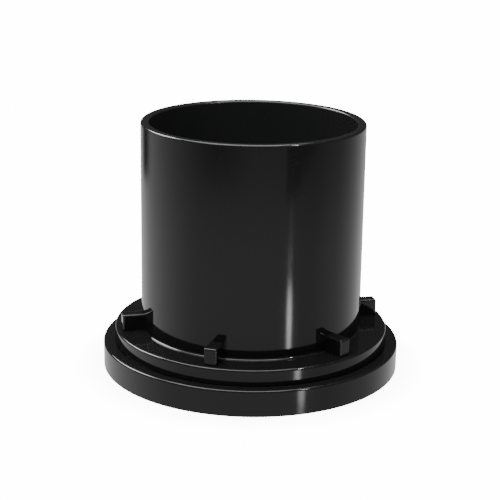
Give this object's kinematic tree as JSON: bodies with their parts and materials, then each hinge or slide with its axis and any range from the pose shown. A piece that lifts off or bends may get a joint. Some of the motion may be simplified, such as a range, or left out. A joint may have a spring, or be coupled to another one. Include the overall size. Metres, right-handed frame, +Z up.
{
  "type": "toilet flange",
  "caption": "Black plastic toilet flange: an open spigot tube on a stepped hub with lugs that turns and locks in a round base, with a lip seal and a face gasket.",
  "frame": {"origin": "on the tube's axis, at the underside of the base ring, which stands on the floor", "axes": "+Z up along the spigot tube, -Y towards the front, where lug 1 stands 16.5 degrees to the left of the middle"},
  "size_m": [0.1484, 0.1484, 0.124],
  "materials": {
    "glossy_black_plastic": "polished injection-moulded black plastic, mirror-like with faint handling scratches",
    "satin_black_plastic": "fine spark-eroded satin",
    "black_seal_rubber": "matt moulded rubber",
    "grey_gasket_rubber": "closed-cell sponge, matt"
  },
  "bodies": {
    "base": {"base_ring": "glossy_black_plastic", "hub_o_ring": "black_seal_rubber", "pan_seal": "black_seal_rubber", "seal_retainer": "satin_black_plastic", "face_gasket": "grey_gasket_rubber"},
    "spigot": {"spigot_tube": "glossy_black_plastic", "hub_ring": "glossy_black_plastic", "grip_lug_1": "glossy_black_plastic", "grip_lug_2": "glossy_black_plastic", "grip_lug_3": "glossy_black_plastic", "grip_lug_4": "glossy_black_plastic", "grip_lug_5": "glossy_black_plastic", "grip_lug_6": "glossy_black_plastic"}
  },
  "joints": [
    {"name": "spigot_turn", "type": "hinge", "parent": "base", "child": "spigot", "pos_m": [0, 0, 0.0169], "axis": [0, 0, 1], "range_deg": [0, 30]}
  ]
}
